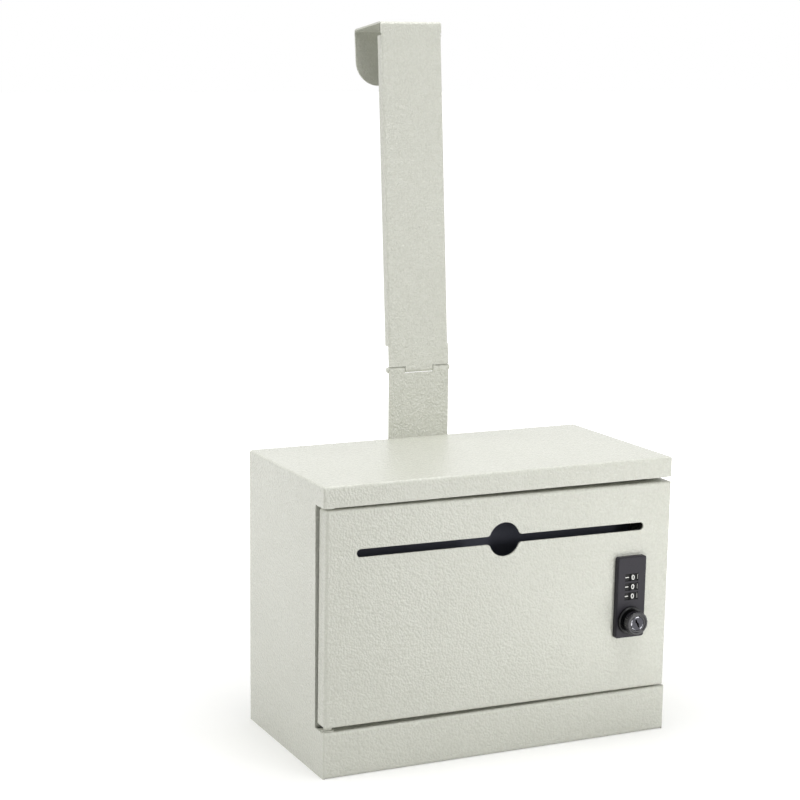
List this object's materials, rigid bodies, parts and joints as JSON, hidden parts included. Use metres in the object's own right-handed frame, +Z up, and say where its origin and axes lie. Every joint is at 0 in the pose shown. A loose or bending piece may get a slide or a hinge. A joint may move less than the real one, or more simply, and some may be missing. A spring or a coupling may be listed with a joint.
{
  "type": "key drop box",
  "caption": "Steel key drop box with a slotted locking door, a combination lock with a knob and cam, and a folding strap hanger that hooks over a door.",
  "frame": {"origin": "middle of the base's underside", "axes": "+Z up, +X to the viewer's right when facing the door, -Y towards the viewer at the front"},
  "size_m": [0.3052, 0.2448, 0.5718],
  "materials": {
    "powder_coat": "satin, wrinkled powder coat",
    "zinc": "zinc plated",
    "nylon": "pale moulded nylon",
    "baffle_black": "matte black",
    "lock_black": "satin black over die-cast zinc",
    "lock_white": "paint fill",
    "dial_black": "moulded black",
    "spring_steel": "bright",
    "knob_black": "moulded black",
    "core_metal": "black chrome"
  },
  "bodies": {
    "cabinet": {"cabinet_shell": "powder_coat", "base_pan": "powder_coat", "back_panel": "powder_coat", "pivot_bushes": "nylon", "lower_strap": "powder_coat", "hinge_pin": "powder_coat", "strap_screws": "zinc", "strap_nuts": "zinc"},
    "door": {"door_panel": "powder_coat", "pivot_pins": "powder_coat", "slot_baffle": "baffle_black", "baffle_rivets": "zinc", "lock_face_plate": "lock_black", "index_ticks": "lock_white", "lock_housing": "lock_black", "dial_rod": "zinc", "detent_spring": "spring_steel", "knob_collar": "lock_black", "barrel_nut": "zinc", "lock_screw": "zinc"},
    "dial_top": {"dial_wheel_top": "dial_black"},
    "dial_middle": {"dial_wheel_middle": "dial_black"},
    "dial_bottom": {"dial_wheel_bottom": "dial_black"},
    "knob_set": {"knob": "knob_black", "lock_spindle": "zinc", "lock_cam": "zinc", "cam_screw": "zinc"},
    "core": {"key_core": "core_metal"},
    "hanger": {"upper_strap": "powder_coat"}
  },
  "joints": [
    {"name": "door_swing", "type": "hinge", "parent": "cabinet", "child": "door", "pos_m": [-0.146, -0.07, 0.12], "axis": [0, 0, -1], "range_deg": [0, 180]},
    {"name": "knob_turn", "type": "hinge", "parent": "door", "child": "knob_set", "pos_m": [0.11492, -0.088, 0.098], "axis": [0, -1, 0], "range_deg": [0, 90]},
    {"name": "key_turn", "type": "hinge", "parent": "knob_set", "child": "core", "pos_m": [0.11492, -0.09, 0.098], "axis": [0, 1, 0], "range_deg": [0, 90]},
    {"name": "dial_top_spin", "type": "hinge", "parent": "door", "child": "dial_top", "pos_m": [0.11712, -0.0733, 0.13369], "axis": [0.007, 0, 1], "continuous": true},
    {"name": "dial_middle_spin", "type": "hinge", "parent": "door", "child": "dial_middle", "pos_m": [0.11706, -0.0733, 0.12589], "axis": [0.007, 0, 1], "continuous": true},
    {"name": "dial_bottom_spin", "type": "hinge", "parent": "door", "child": "dial_bottom", "pos_m": [0.11701, -0.0733, 0.11809], "axis": [0.007, 0, 1], "continuous": true},
    {"name": "hanger_fold", "type": "hinge", "parent": "cabinet", "child": "hanger", "pos_m": [0, 0.0791, 0.2868], "axis": [-1, 0, 0], "range_deg": [-4.7, 160]}
  ]
}
